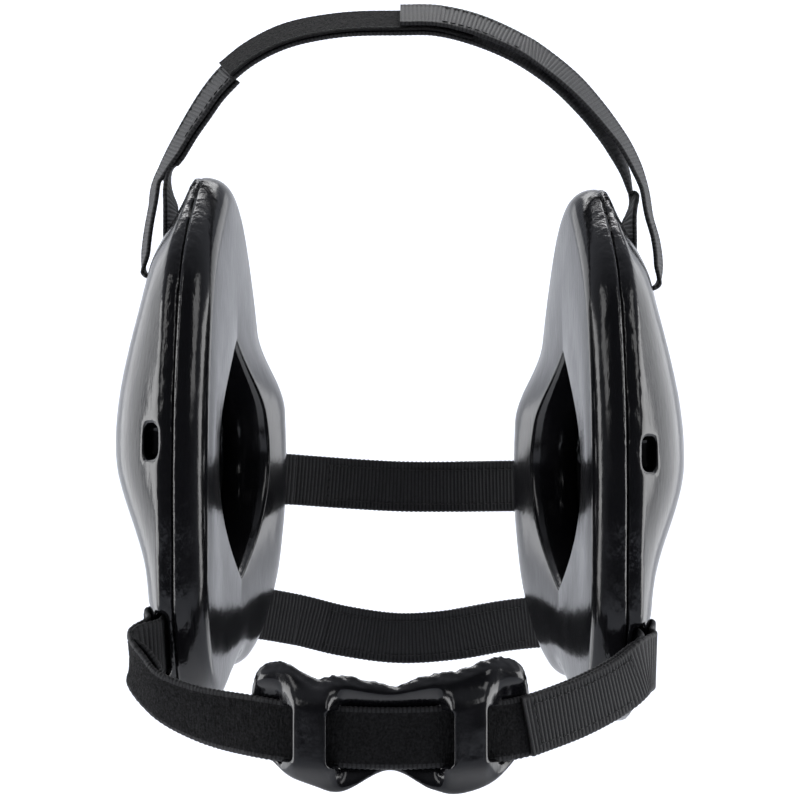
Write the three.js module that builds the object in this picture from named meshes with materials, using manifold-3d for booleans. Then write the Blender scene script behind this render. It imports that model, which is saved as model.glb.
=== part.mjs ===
// A wrestling ear guard: two padded ear cups joined by a top strap, two rear straps and a chin
// strap that is woven through a moulded chin pad.
// Millimetres, +Z up. The wearer faces -Y and +X is the wearer's left. The origin is the middle of
// the underside of the top strap, where it rests on the crown of the head.

import * as THREE from 'three';
import { mergeVertices } from 'three/addons/utils/BufferGeometryUtils.js';
import Module from 'manifold-3d';

const wasm = await Module();
wasm.setup();

// Driving sizes

const GAP = 0.3;                 // clearance between two pieces that touch
const HALF = 0.5;
const FULL_TURN = 2 * Math.PI;

const EAR_DROP = 147;            // crown down to the middle of the ear opening
const SEAM_HALF_SPAN = 65.5;     // centre plane to the seam between shell and pad, at the ear
const CUP_YAW = 7;               // degrees that the front of a cup is turned outwards
const LEFT_CUP_DROP = 4;         // how much lower the wearer's left cup hangs than the other

const CUP_FRONT = 57;            // ear centre to the cup's front edge
const CUP_REAR = 63;             // ear centre to the cup's rear edge
const CUP_UP = 95;               // ear centre to the top edge
const CUP_DOWN = 82;             // ear centre to the lowest edge

const SHELL_EDGE = 5;            // height of the shell's side wall at its edge
const SHELL_BODY = 21.5;         // height of the shell's broad body over the seam
const EAR_DOME = 8;              // extra height of the dome over the ear
const DOME_RISE = 6;             // the dome's middle over the middle of the ear
const SHELL_WALL = 4;            // wall left over the hollow for the ear
const TUCK_BELOW = 0.4;
const TUCK_START = 2;
const TUCK_RANGE = 45;
const NARROW_SHARE = 0.45;
const NARROW_START = 64;
const HOLLOW_MARGIN = 4;         // how much wider the shell's hollow is than the ear opening

const PAD_THICK = 10;            // pad thickness, front and top
const PAD_BULGE = 8;             // extra thickness of the pad behind the ear
const PAD_ROUND = 9;             // rounding of the pad's outer edge
const LIP_ROUND = 7.5;           // rounding of the lip round the ear opening
const OPENING_HALF_LENGTH = 30;  // half of the ear opening, front to back
const OPENING_HALF_HEIGHT = 39.5;

const STRAP_WIDTH = 19;
const STRAP_THICK = 1.6;
const LOOP_TAPE_THICK = 1;       // fuzzy tape sewn on the outside of the top strap
const SLOT_CLEARANCE = 1.1;      // room on each side of a strap in its slot
const CHANNEL_DEPTH = 4.4;       // depth of the channel under a slot's bar
const SLOT_LENGTH = 7;           // length of a slot's hole, along the strap
const BAR_THICK = 3.4;           // bar that a strap wraps round

const PASSAGE = 0.7;             // room on each face of a strap where it passes through a shell
const LOOP_SPREAD = 4.6;         // distance between those two layers at the end of that length

const VENT_HEIGHT = 8.5;
const VENT_LENGTH = 15;
const SIDE_POCKET_HEIGHT = 11;   // unused slot in the cup's front flank
const SIDE_POCKET_DEPTH = 14;

const CHIN_PAD_LENGTH = 86;
const CHIN_PAD_HEIGHT = 42;
const CHIN_PAD_THICK = 5.6;
const CHIN_PAD_WAVE = 4.4;       // how far the pad's bars stand forward, and its ends back
const CHIN_SLOT_WIDTH = 5.5;
const CHIN_BAR_WIDTH = 10.5;
const CHIN_BAR_SPACING = 49;     // between the middles of the two bars
const CHIN_FORWARD = 96;         // ear centre forward to the chin strap
const CHIN_DROP = 83;            // ear centre down to the middle of the chin strap
const CHIN_SHIFT = -3;           // the chin pad sits a little towards the wearer's right

const REAR_BACK = 100;           // ear centre back to the rear straps

// Turns of each cup's outline, as shares of the cup's four reaches from the ear centre
const CUP_OUTLINE = [
  { along: 1.00, up: -0.12 },
  { along: 0.96, up: 0.15 },
  { along: 0.80, up: 0.43 },
  { along: 0.52, up: 0.71 },
  { along: 0.16, up: 0.94 },
  { along: -0.15, up: 1.00 },
  { along: -0.46, up: 0.88 },
  { along: -0.76, up: 0.68 },
  { along: -0.93, up: 0.38 },
  { along: -1.00, up: 0.05 },
  { along: -1.00, up: -0.32 },
  { along: -0.97, up: -0.64 },
  { along: -0.80, up: -0.90 },
  { along: -0.48, up: -1.00 },
  { along: -0.10, up: -0.93 },
  { along: 0.17, up: -0.87 },
  { along: 0.46, up: -0.89 },
  { along: 0.74, up: -0.80 },
  { along: 0.87, up: -0.60 },
  { along: 0.88, up: -0.38 },
];

// Strap slots of a cup. The bar's middle is given as shares of the cup's reaches, heading is the
// way the strap leaves, in degrees from straight back, and level is the height of the bar's
// underside as a share of the shell's body. Reach is the length, in strap widths, of the
// layers that lie straight beside the bar.
const SLOTS = {
  top: { along: -0.07, up: 0.70, heading: 90, level: 0.66, reach: 1.05 },
  rear_upper: { along: 0.74, up: -0.12, heading: 0, level: 0.66, reach: 1.05 },
  rear_lower: { along: 0.64, up: -0.68, heading: -14, level: 0.33, reach: 0.85 },
  chin: { along: -0.72, up: -0.70, heading: 188, level: 0.32, reach: 0.75 },
};

// Openings that let air and sound through the dome, by their middle as shares of the dome's reach
const VENTS = [
  { along: -0.10, up: 0.33 },
  { along: -0.14, up: 0.06 },
  { along: -0.10, up: -0.22 },
];

const CUP_STEPS = 46;            // corners round a cup's outline

// The top strap's line over each side of the head, from the crown down to the cup: out is a share
// of the way out to the shell's body, down of the way down to the slot's bar
const CROWN_TILT = 27;           // degrees that the strap's front edge dips at the crown
const CROWN_EASE = 0.35;           // slack between the free end and the tape that it grips
const RIGHT_ARCH = [
  { out: 0.23, down: 0.008, yaw: -2, tilt: 27 },
  { out: 0.44, down: 0.052, yaw: -9, tilt: 26 },
  { out: 0.58, down: 0.125, yaw: -14, tilt: 22 },
  { out: 0.675, down: 0.205, yaw: -18, tilt: 18 },
  { out: 0.74, down: 0.285, yaw: -19, tilt: 14 },
  { out: 0.79, down: 0.365, yaw: -19, tilt: 12 },
  { out: 0.84, down: 0.45, yaw: -17, tilt: 10 },
  { out: 0.885, down: 0.535, yaw: -16, tilt: 9 },
  { out: 0.92, down: 0.6, yaw: -13, tilt: 7 },
  { out: 0.952, down: 0.67, yaw: -11, tilt: 5 },
];
const TOP_TWIST = -18;           // degrees that the top strap's outer layer turns out at the front
const RIGHT_TOP_BULGE = 3;       // how far the strap's outer layer stands off the bar's face
const LEFT_TOP_BULGE = 4.5;
const RIGHT_END_ROW = 3;         // the sewn end lies against the arch from this row down
const RIGHT_TAPE_ROWS = 4;
const LEFT_ARCH = [
  { out: 0.14, down: 0.002, yaw: -3, tilt: 27 },
  { out: 0.29, down: 0.038, yaw: -9, tilt: 26 },
  { out: 0.46, down: 0.115, yaw: -13, tilt: 22 },
  { out: 0.61, down: 0.22, yaw: -16, tilt: 19 },
  { out: 0.715, down: 0.328, yaw: -17, tilt: 15 },
  { out: 0.79, down: 0.425, yaw: -17, tilt: 11 },
  { out: 0.845, down: 0.515, yaw: -16, tilt: 8 },
  { out: 0.885, down: 0.61, yaw: -11, tilt: 4 },
  { out: 0.905, down: 0.71, yaw: -4, tilt: 0 },
];
const LEFT_RETURN = [
  { out: 0.955, down: 0.66, yaw: -11, tilt: 4 },
  { out: 0.925, down: 0.575, yaw: -14, tilt: 6 },
  { out: 0.88, down: 0.485, yaw: -15, tilt: 9 },
  { out: 0.825, down: 0.405, yaw: -16, tilt: 12 },
  { out: 0.76, down: 0.322, yaw: -17, tilt: 14 },
  { out: 0.675, down: 0.23, yaw: -17, tilt: 18 },
  { out: 0.565, down: 0.138, yaw: -15, tilt: 21 },
];

// The rear straps' line from the cup to the back of the head: out is a share of the seam's half
// span, back of the way from the cup's rear edge to the back, drop of the cup's lower reach
const REAR_UPPER_LINE = [
  { out: 1.00, back: 0.36, drop: -0.015 },
  { out: 0.86, back: 0.6, drop: -0.015 },
  { out: 0.62, back: 0.8, drop: 0.0 },
  { out: 0.32, back: 0.95, drop: 0.02 },
  { out: 0.00, back: 1.00, drop: 0.035 },
];
const REAR_LOWER_LINE = [
  { out: 0.98, back: 0.26, drop: 0.03 },
  { out: 0.84, back: 0.52, drop: 0.04 },
  { out: 0.6, back: 0.77, drop: 0.08 },
  { out: 0.32, back: 0.94, drop: 0.14 },
  { out: 0.00, back: 1.00, drop: 0.175 },
];

// The chin strap's line from each cup to the chin pad; lean turns its lower edge back, in degrees
const CHIN_RIGHT_SIDE = [
  { out: 1.30, forward: 0.63, down: 0.745, lean: 18 },
  { out: 1.20, forward: 0.69, down: 0.86, lean: 28 },
  { out: 0.98, forward: 0.78, down: 0.935, lean: 18 },
];
const CHIN_LEFT_SIDE = [
  { out: 1.17, forward: 0.62, down: 0.775, lean: 4 },
  { out: 1.06, forward: 0.69, down: 0.835, lean: 6 },
  { out: 0.86, forward: 0.79, down: 0.905, lean: 5 },
];
const CHIN_CURVE = 9.5;          // how far the strap runs back from the chin to the pad's ends
const CHIN_RISE = 2.8;           // and how far it rises

// Outline of the chin pad over its length, as shares of its half length and of its height, from
// the strap's middle
const CHIN_PAD_OUTLINE = [
  { along: -1.00, top: 0.27, base: 0.00 },
  { along: -0.96, top: 0.40, base: -0.12 },
  { along: -0.79, top: 0.51, base: -0.28 },
  { along: -0.53, top: 0.42, base: -0.37 },
  { along: -0.36, top: 0.45, base: -0.40 },
  { along: 0.00, top: 0.40, base: -0.24 },
  { along: 0.30, top: 0.46, base: -0.38 },
  { along: 0.48, top: 0.48, base: -0.42 },
  { along: 0.79, top: 0.54, base: -0.33 },
  { along: 0.96, top: 0.42, base: -0.14 },
  { along: 1.00, top: 0.27, base: 0.00 },
];

const colours = {
  vinyl: { color: 0x17181b, roughness: 0.18, metalness: 0 },
  webbing: { color: 0x232427, roughness: 0.85, metalness: 0 },
  fuzz: { color: 0x2a2b2e, roughness: 1, metalness: 0 },
};

// Small helpers

const radians = (degrees) => (degrees * Math.PI) / 180;
const clamp01 = (x) => Math.min(1, Math.max(0, x));
const ease = (x) => clamp01(x) ** 2 * (3 - 2 * clamp01(x));
const alongReach = (share) => share * (share < 0 ? CUP_FRONT : CUP_REAR);
const upReach = (share) => share * (share < 0 ? CUP_DOWN : CUP_UP);

function finished(name, geometry, finish) {
  const mesh = new THREE.Mesh(geometry, new THREE.MeshStandardMaterial(finish));
  mesh.geometry.computeVertexNormals();
  mesh.name = name;
  return mesh;
}

// A closed body from rings of points. Rings are joined in order, and each end is either closed by
// a fan to the ring's middle, or, when looped is true, the last ring is joined to the first.
function bodyFromRings(rings, looped = false) {
  const count = rings[0].length;
  const positions = rings.flat().flatMap((p) => [p.x, p.y, p.z]);
  const faces = [];
  const spans = looped ? rings.length : rings.length - 1;
  for (let i = 0; i < spans; i += 1) {
    const here = i * count;
    const next = ((i + 1) % rings.length) * count;
    for (let j = 0; j < count; j += 1) {
      const k = (j + 1) % count;
      faces.push(here + j, here + k, next + k, here + j, next + k, next + j);
    }
  }
  if (!looped) {
    [0, rings.length - 1].forEach((ringIndex, end) => {
      const middle = new THREE.Vector3();
      rings[ringIndex].forEach((p) => middle.addScaledVector(p, 1 / count));
      positions.push(middle.x, middle.y, middle.z);
      const centre = positions.length / 3 - 1;
      for (let j = 0; j < count; j += 1) {
        const a = ringIndex * count + j;
        const b = ringIndex * count + ((j + 1) % count);
        if (end === 0) faces.push(centre, b, a);
        else faces.push(centre, a, b);
      }
    });
  }
  const geometry = new THREE.BufferGeometry();
  geometry.setAttribute('position', new THREE.Float32BufferAttribute(positions, 3));
  geometry.setIndex(faces);
  return facingOut(geometry);
}

function signedVolume(geometry) {
  const position = geometry.getAttribute('position');
  const index = geometry.getIndex();
  const [a, b, c] = [new THREE.Vector3(), new THREE.Vector3(), new THREE.Vector3()];
  let volume = 0;
  for (let i = 0; i < index.count; i += 3) {
    a.fromBufferAttribute(position, index.getX(i));
    b.fromBufferAttribute(position, index.getX(i + 1));
    c.fromBufferAttribute(position, index.getX(i + 2));
    volume += a.dot(b.cross(c)) / 6;
  }
  return volume;
}

function facingOut(geometry) {
  if (signedVolume(geometry) < 0) {
    const index = geometry.getIndex();
    for (let i = 0; i < index.count; i += 3) {
      const first = index.getX(i);
      index.setX(i, index.getX(i + 1));
      index.setX(i + 1, first);
    }
  }
  return geometry;
}

function toSolid(geometry) {
  const plain = geometry.clone();
  plain.deleteAttribute('normal');
  plain.deleteAttribute('uv');
  const merged = facingOut(mergeVertices(plain, 1e-4));
  return new wasm.Manifold(new wasm.Mesh({
    numProp: 3,
    vertProperties: new Float32Array(merged.getAttribute('position').array),
    triVerts: new Uint32Array(merged.getIndex().array),
  }));
}

function fromSolid(solid) {
  const mesh = solid.getMesh();
  const geometry = new THREE.BufferGeometry();
  geometry.setAttribute('position', new THREE.BufferAttribute(mesh.vertProperties, 3));
  geometry.setIndex(new THREE.BufferAttribute(mesh.triVerts, 1));
  return geometry;
}

function cutAway(geometry, cutters) {
  let solid = toSolid(geometry);
  cutters.forEach((cutter) => { solid = solid.subtract(toSolid(cutter)); });
  return fromSolid(solid);
}

// The cups. A cup has its own frame: u runs back, v up and w outwards from the seam. Side is 1 for
// the cup on +X and -1 for the one on -X.

function cupToWorld(side, u, v, w) {
  const yaw = radians(CUP_YAW);
  return new THREE.Vector3(
    side * (SEAM_HALF_SPAN - u * Math.sin(yaw) + w * Math.cos(yaw)),
    u * Math.cos(yaw) + w * Math.sin(yaw),
    -EAR_DROP + v - (side > 0 ? LEFT_CUP_DROP : 0),
  );
}

// Distance from the ear centre to the cup's edge, for each heading round it
const cupEdge = (() => {
  const turns = CUP_OUTLINE.map((p) => new THREE.Vector3(alongReach(p.along), upReach(p.up), 0));
  const curve = new THREE.CatmullRomCurve3(turns, true, 'centripetal');
  const fine = curve.getPoints(720).slice(0, -1);
  return Array.from({ length: CUP_STEPS }, (_, i) => {
    const angle = (FULL_TURN * i) / CUP_STEPS;
    const heading = new THREE.Vector2(Math.cos(angle), Math.sin(angle));
    const nearest = fine.reduce((best, p) => {
      const dot = (p.x * heading.x + p.y * heading.y) / Math.hypot(p.x, p.y);
      return dot > best.dot ? { dot, reach: Math.hypot(p.x, p.y) } : best;
    }, { dot: -1, reach: 0 });
    return { heading, reach: nearest.reach };
  });
})();

function reachAt(u, v) {
  const turn = ((Math.atan2(v, u) / FULL_TURN) * CUP_STEPS + CUP_STEPS) % CUP_STEPS;
  const i = Math.floor(turn);
  const here = cupEdge[i].reach;
  const next = cupEdge[(i + 1) % CUP_STEPS].reach;
  return here + (next - here) * (turn - i);
}

// The ear opening is a lens: two parabolas that meet in a point above and below
function openingReach(heading, margin = 0) {
  const across = OPENING_HALF_LENGTH + margin;
  const bend = across * (heading.y / (OPENING_HALF_HEIGHT + margin)) ** 2;
  const flat = Math.abs(heading.x);
  return (2 * across) / (flat + Math.sqrt(flat ** 2 + 4 * across * bend));
}

// The shell grows thinner towards its top
function narrowTop(v) {
  return 1 - NARROW_SHARE * ease((v - NARROW_START) / (CUP_UP - NARROW_START));
}

// Height of the shell over the seam: a steep flank, a broad body and a low dome over the ear
function shellHeight(u, v) {
  const share = clamp01(Math.hypot(u, v) / reachAt(u, v));
  const tuck = 1 - TUCK_BELOW * ease((TUCK_START - v) / TUCK_RANGE);
  const body = (SHELL_BODY - SHELL_EDGE) * tuck * (1 - share ** 4);
  const dome = EAR_DOME * ease(1 - Math.hypot(u / CUP_REAR, (v - DOME_RISE) / (0.6 * CUP_UP)));
  return (SHELL_EDGE + body) * narrowTop(v) + dome;
}

function padThickness(u, v) {
  const towardsRear = clamp01((u + OPENING_HALF_LENGTH) / (CUP_REAR + OPENING_HALF_LENGTH * HALF));
  const besideEar = ease((0.47 * CUP_UP - v) / (0.3 * CUP_UP)) * ease((v + CUP_DOWN) / (0.75 * CUP_DOWN));
  return PAD_THICK + PAD_BULGE * towardsRear ** 1.3 * besideEar;
}

// A box in a slot's own directions: out is the way the strap leaves, across is its width
function slotBox(side, slot, outFrom, outTo, lowW, highW, width) {
  const corners = [];
  [lowW, highW].forEach((w) => {
    const ring = [[outFrom, -1], [outTo, -1], [outTo, 1], [outFrom, 1]].map(([out, edge]) => (
      slotPoint(side, slot, out, (edge * width) / 2, w)
    ));
    corners.push(ring);
  });
  return bodyFromRings(corners);
}

function slotPoint(side, slot, out, across, w) {
  const angle = radians(slot.heading);
  const u = alongReach(slot.along) + out * Math.cos(angle) - across * Math.sin(angle);
  const v = upReach(slot.up) + out * Math.sin(angle) + across * Math.cos(angle);
  return cupToWorld(side, u, v, w);
}

function slotCutters(side, slot) {
  const width = STRAP_WIDTH + 2 * SLOT_CLEARANCE;
  const underBar = slot.level * SHELL_BODY;
  const floor = underBar - CHANNEL_DEPTH;
  const above = SHELL_BODY + EAR_DOME + SHELL_WALL;
  const beyondEdge = CUP_UP;
  return [
    slotBox(side, slot, -BAR_THICK - SLOT_LENGTH, -BAR_THICK, floor, above, width),
    slotBox(side, slot, -BAR_THICK - HALF, beyondEdge, floor, underBar, width),
  ];
}

function ventCutter(side, vent) {
  const u = vent.along * CUP_REAR;
  const v = vent.up * CUP_UP;
  const steps = 10;
  const ring = (w) => Array.from({ length: steps }, (_, i) => {
    const angle = (FULL_TURN * i) / steps;
    const alongVent = VENT_LENGTH * HALF * Math.cos(angle);
    return cupToWorld(side, u + alongVent, v + VENT_HEIGHT * HALF * Math.sin(angle), w);
  });
  return bodyFromRings([ring(SHELL_EDGE), ring(SHELL_BODY + EAR_DOME + SHELL_WALL)]);
}

function sidePocketCutter(side) {
  const pocket = { along: -1, up: 0.07, heading: 180 };
  const top = SHELL_BODY * HALF;
  return slotBox(side, pocket, -SIDE_POCKET_DEPTH, CUP_FRONT, SHELL_EDGE + GAP, top, SIDE_POCKET_HEIGHT);
}

function outerShell(side) {
  const ringAt = (share) => cupEdge.map(({ heading, reach }) => {
    const u = heading.x * reach * share;
    const v = heading.y * reach * share;
    return cupToWorld(side, u, v, shellHeight(u, v));
  });
  const hollowAt = (share) => cupEdge.map(({ heading }) => {
    const reach = openingReach(heading, HOLLOW_MARGIN) * share;
    const u = heading.x * reach;
    const v = heading.y * reach;
    const roof = shellHeight(u, v) - SHELL_WALL;
    return cupToWorld(side, u, v, GAP * HALF + (roof - GAP * HALF) * (1 - share ** 4) ** HALF);
  });
  const base = cupEdge.map(({ heading, reach }) => (
    cupToWorld(side, heading.x * reach, heading.y * reach, GAP * HALF)
  ));
  const rings = [
    ...[0.15, 0.4, 0.6, 0.77, 0.89, 0.96, 1].map(ringAt),
    base,
    ...[1, 0.85, 0.55, 0.15].map(hollowAt),
  ];
  const cutters = [
    ...Object.values(SLOTS).flatMap((slot) => slotCutters(side, slot)),
    ...Object.values(SLOTS).map((slot) => loopPassage(side, slot)),
    ...VENTS.map((vent) => ventCutter(side, vent)),
    sidePocketCutter(side),
  ];
  return cutAway(bodyFromRings(rings), cutters);
}

// The pad is a ring round the ear opening, with a rounded outer edge and a rounded lip
function innerPad(side) {
  const section = [
    { from: 'edge', inset: 0, depth: 0 },
    { from: 'edge', inset: 0, depth: 0.15 },
    { from: 'edge', inset: 0.3, depth: 0.75 },
    { from: 'edge', inset: 1, depth: 1 },
    { from: 'middle', inset: 0, depth: 1.04 },
    { from: 'lip', inset: 0.4, depth: 1 },
    { from: 'lip', inset: 0.08, depth: 0.9 },
    { from: 'lip', inset: 0, depth: 0.7 },
    { from: 'lip', inset: 0, depth: 0 },
  ];
  const rings = section.map((row) => cupEdge.map(({ heading, reach }) => {
    const lip = openingReach(heading);
    const distance = {
      edge: reach - row.inset * PAD_ROUND,
      middle: (reach + lip) * HALF,
      lip: lip + row.inset * LIP_ROUND,
    }[row.from];
    const u = heading.x * distance;
    const v = heading.y * distance;
    const depth = row.depth * padThickness(u, v);
    return cupToWorld(side, u, v, -GAP * HALF - depth);
  }));
  return bodyFromRings(rings, true);
}

// Straps. A strap is a ribbon: stations give the middle of its thickness and the direction of its
// front or upper edge.

function ribbon(stations, steps, thick = STRAP_THICK, width = STRAP_WIDTH) {
  const middle = new THREE.CatmullRomCurve3(stations.map((s) => s.at), false, 'centripetal');
  const edges = new THREE.CatmullRomCurve3(stations.map((s) => s.edge), false, 'centripetal');
  const rings = Array.from({ length: steps + 1 }, (_, i) => {
    const t = i / steps;
    const at = middle.getPoint(t);
    const along = middle.getTangent(t);
    const edge = edges.getPoint(t);
    edge.addScaledVector(along, -edge.dot(along)).normalize();
    const face = new THREE.Vector3().crossVectors(along, edge);
    return [[1, 1], [-1, 1], [-1, -1], [1, -1]].map(([a, b]) => (
      at.clone().addScaledVector(edge, (a * width) / 2).addScaledVector(face, (b * thick) / 2)
    ));
  });
  return bodyFromRings(rings);
}

// Stations of a strap that wraps a slot's bar, from where its inner layer leaves the cup to where
// its outer layer does
function barLoop(side, slot, bulge = 0, twist = 0) {
  const reach = slot.reach * STRAP_WIDTH;
  const underBar = slot.level * SHELL_BODY;
  const inner = underBar - CHANNEL_DEPTH * HALF;
  const outer = (out) => {
    const p = new THREE.Vector3();
    const angle = radians(slot.heading);
    p.x = alongReach(slot.along) + out * Math.cos(angle);
    p.y = upReach(slot.up) + out * Math.sin(angle);
    return Math.max(shellHeight(p.x, p.y), underBar) + STRAP_THICK;
  };
  const foldOut = -BAR_THICK - STRAP_THICK;
  const edge = slotPoint(side, slot, 0, 1, 0).sub(slotPoint(side, slot, 0, 0, 0));
  const outward = slotPoint(side, slot, 0, 0, 1).sub(slotPoint(side, slot, 0, 0, 0));
  const station = (out, w, turn = 0) => ({
    at: slotPoint(side, slot, out, 0, w),
    edge: edge.clone().multiplyScalar(Math.cos(turn)).addScaledVector(outward, Math.sin(turn)),
  });
  const spread = inner + LOOP_SPREAD;
  return [
    station(reach, inner),
    station(reach * 0.6, inner),
    station(reach * 0.2, inner),
    station(foldOut + STRAP_THICK * HALF, inner + GAP),
    station(foldOut - GAP, (inner + outer(foldOut)) * HALF),
    station(foldOut + STRAP_THICK, outer(0) + GAP + bulge * HALF, twist * HALF),
    station(reach * 0.2, outer(reach * 0.2) + GAP + bulge, twist),
    station(reach * 0.6, Math.max(outer(reach * 0.6), spread) + bulge, twist),
    station(reach, spread + bulge * HALF, twist),
  ];
}

function loopPassage(side, slot) {
  const thick = STRAP_THICK + 2 * PASSAGE;
  return ribbon(barLoop(side, slot), 28, thick, STRAP_WIDTH + 2 * SLOT_CLEARANCE);
}

// Direction of a strap's front edge: yaw turns it outwards, tilt turns it down
const frontEdge = (side, yaw, tilt) => new THREE.Vector3(
  side * Math.sin(radians(yaw)) * Math.cos(radians(tilt)),
  -Math.cos(radians(yaw)) * Math.cos(radians(tilt)),
  -Math.sin(radians(tilt)),
);

// The same stations moved off along the strap's face
function shifted(stations, distance) {
  return stations.map((station, i) => {
    const before = stations[Math.max(i - 1, 0)].at;
    const after = stations[Math.min(i + 1, stations.length - 1)].at;
    const face = after.clone().sub(before).cross(station.edge).normalize();
    return { at: station.at.clone().addScaledVector(face, distance), edge: station.edge.clone() };
  });
}

function archStations(side, rows) {
  const out = SEAM_HALF_SPAN + SHELL_BODY;
  const down = EAR_DROP - SLOTS.top.up * CUP_UP + (side > 0 ? LEFT_CUP_DROP : 0);
  return rows.map((row) => ({
    at: new THREE.Vector3(side * out * row.out, 0, STRAP_THICK * HALF - down * row.down),
    edge: frontEdge(side, row.yaw, row.tilt),
  }));
}

const CROWN = { at: new THREE.Vector3(0, 0, STRAP_THICK * HALF), edge: frontEdge(1, 0, CROWN_TILT) };

function topStrapStations() {
  const rightMain = archStations(-1, RIGHT_ARCH);
  const rightEnd = shifted(rightMain.slice(RIGHT_END_ROW, -1), -STRAP_THICK - GAP);
  const rightLoop = barLoop(-1, SLOTS.top, RIGHT_TOP_BULGE, radians(TOP_TWIST));
  const leftMain = archStations(1, LEFT_ARCH);
  const leftLoop = barLoop(1, SLOTS.top, LEFT_TOP_BULGE, radians(TOP_TWIST));
  const leftReturn = archStations(1, LEFT_RETURN);
  const overTape = STRAP_THICK + LOOP_TAPE_THICK + 2 * GAP + CROWN_EASE;
  const freeEnd = shifted([CROWN, ...leftMain.slice(0, 3)], -overTape);
  return {
    main: [...rightEnd, ...rightLoop, ...rightMain.slice().reverse(), CROWN, ...leftMain,
      ...leftLoop, ...leftReturn, ...freeEnd.reverse()],
    taped: [...rightMain.slice(0, RIGHT_TAPE_ROWS).reverse(), CROWN, ...leftMain.slice(0, 2)],
  };
}

function topStrap() {
  return ribbon(topStrapStations().main, 92);
}

function topLoopTape() {
  const lift = (STRAP_THICK + LOOP_TAPE_THICK) * HALF + GAP;
  return ribbon(shifted(topStrapStations().taped, -lift), 26, LOOP_TAPE_THICK);
}

// A rear strap: its sewn end lies inside the right-hand loop, its free end outside the left-hand one
function rearStrap(slot, rows, back) {
  const slotDown = EAR_DROP - upReach(slot.up);
  const arc = (side, list) => list.map((row) => ({
    at: new THREE.Vector3(
      side * SEAM_HALF_SPAN * row.out,
      CUP_REAR + (back - CUP_REAR) * row.back,
      -slotDown - CUP_DOWN * row.drop - (side > 0 ? LEFT_CUP_DROP * row.out : 0),
    ),
    edge: new THREE.Vector3(0, 0, 1),
  }));
  const right = arc(-1, rows);
  const left = arc(1, rows);
  const layer = STRAP_THICK + GAP;
  const sewnEnd = shifted(right.slice(0, 3), layer).reverse();
  const freeEnd = shifted(left, layer);
  return ribbon([
    ...sewnEnd,
    ...barLoop(-1, slot),
    ...right,
    ...left.slice(0, -1).reverse(),
    ...barLoop(1, slot),
    ...freeEnd.slice(0, 4),
  ], 64);
}

// The chin strap lies on one line across the chin; x is measured from the chin pad's middle
function chinLine(x) {
  const share = x / (CHIN_PAD_LENGTH * HALF);
  const y = -CHIN_FORWARD + CHIN_CURVE * share ** 2;
  return new THREE.Vector3(CHIN_SHIFT + x, y, -EAR_DROP - CHIN_DROP + CHIN_RISE * share ** 2);
}

// Stations from a cup to the chin pad: out, forward and down are shares of the seam's half span and
// of the chin's two distances from the ear
function chinSide(side, rows) {
  return rows.map((row) => ({
    at: new THREE.Vector3(side * SEAM_HALF_SPAN * row.out, -CHIN_FORWARD * row.forward,
      -EAR_DROP - CHIN_DROP * row.down),
    edge: new THREE.Vector3(0, Math.sin(radians(row.lean)), -Math.cos(radians(row.lean))),
  }));
}

function chinRun() {
  const across = [-0.95, -0.7, -0.35, 0, 0.35, 0.7, 0.95].map((share) => ({
    at: chinLine(share * CHIN_PAD_LENGTH * HALF),
    edge: new THREE.Vector3(0, 0, -1),
  }));
  return { right: chinSide(-1, CHIN_RIGHT_SIDE), across, left: chinSide(1, CHIN_LEFT_SIDE) };
}

function chinStrap() {
  const { right, across, left } = chinRun();
  const layer = STRAP_THICK + GAP;
  const sewnEnd = shifted(right.slice(0, 2), layer).reverse();
  const freeEnd = shifted([...left, across[across.length - 1]], layer);
  return ribbon([
    ...sewnEnd,
    ...barLoop(-1, SLOTS.chin),
    ...right,
    ...across,
    ...left.slice().reverse(),
    ...barLoop(1, SLOTS.chin),
    ...freeEnd,
  ], 76);
}

// The chin pad waves: its bars stand in front of the strap, its middle and ends behind
function chinWave(x, height) {
  const beside = Math.abs(Math.abs(x) - CHIN_BAR_SPACING * HALF) - CHIN_BAR_WIDTH * HALF;
  const bar = 1 - 2 * ease(beside / CHIN_SLOT_WIDTH);
  const pastStrap = Math.abs(height) - STRAP_WIDTH * HALF - SLOT_CLEARANCE;
  const calm = 1 - 0.6 * ease(pastStrap / STRAP_WIDTH / HALF);
  return CHIN_PAD_WAVE * bar * calm;
}

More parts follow.
